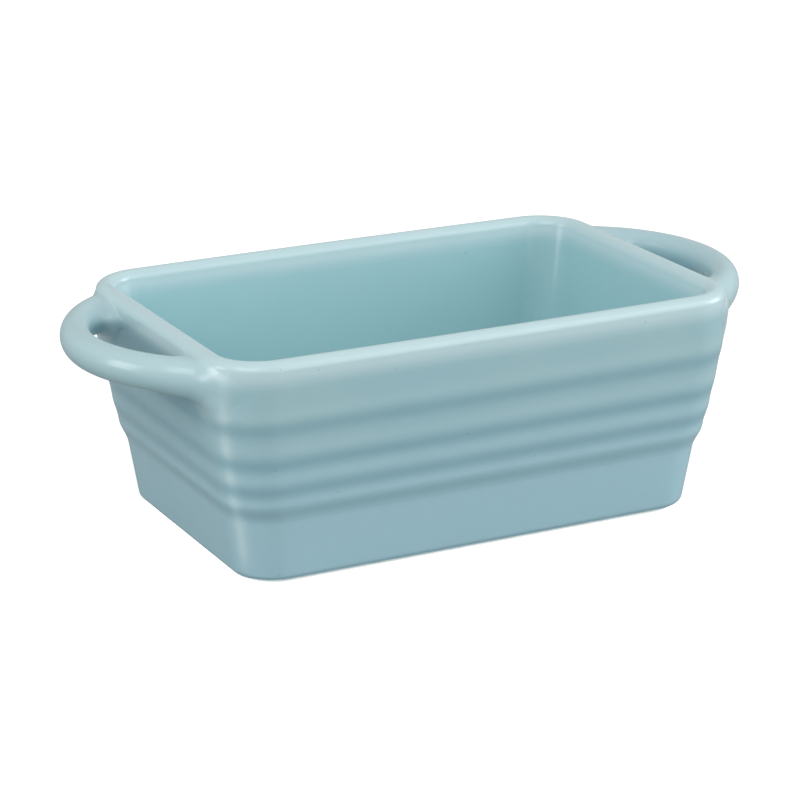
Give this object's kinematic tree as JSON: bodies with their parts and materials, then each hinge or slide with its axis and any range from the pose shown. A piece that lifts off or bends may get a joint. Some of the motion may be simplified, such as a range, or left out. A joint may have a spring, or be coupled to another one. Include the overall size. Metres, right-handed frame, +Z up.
{
  "type": "loaf pan",
  "caption": "Tapered rectangular stoneware loaf pan with a rolled rim, ribbed walls and a loop handle at each end, glazed pale blue.",
  "frame": {"origin": "on the surface that the pan stands on, below the middle of the pan", "axes": "+X along the pan's length towards the right handle, +Y towards the back long wall, +Z up"},
  "size_m": [0.2308, 0.119, 0.0738],
  "materials": {
    "glaze": "glossy pale celadon blue glaze, paler where it runs thin on edges",
    "bare_clay": "unglazed off-white stoneware, dry and fine-grained"
  },
  "bodies": {
    "root": {"pan_body": "glaze", "left_handle": "glaze", "right_handle": "glaze", "foot_rim": "bare_clay"}
  },
  "joints": []
}
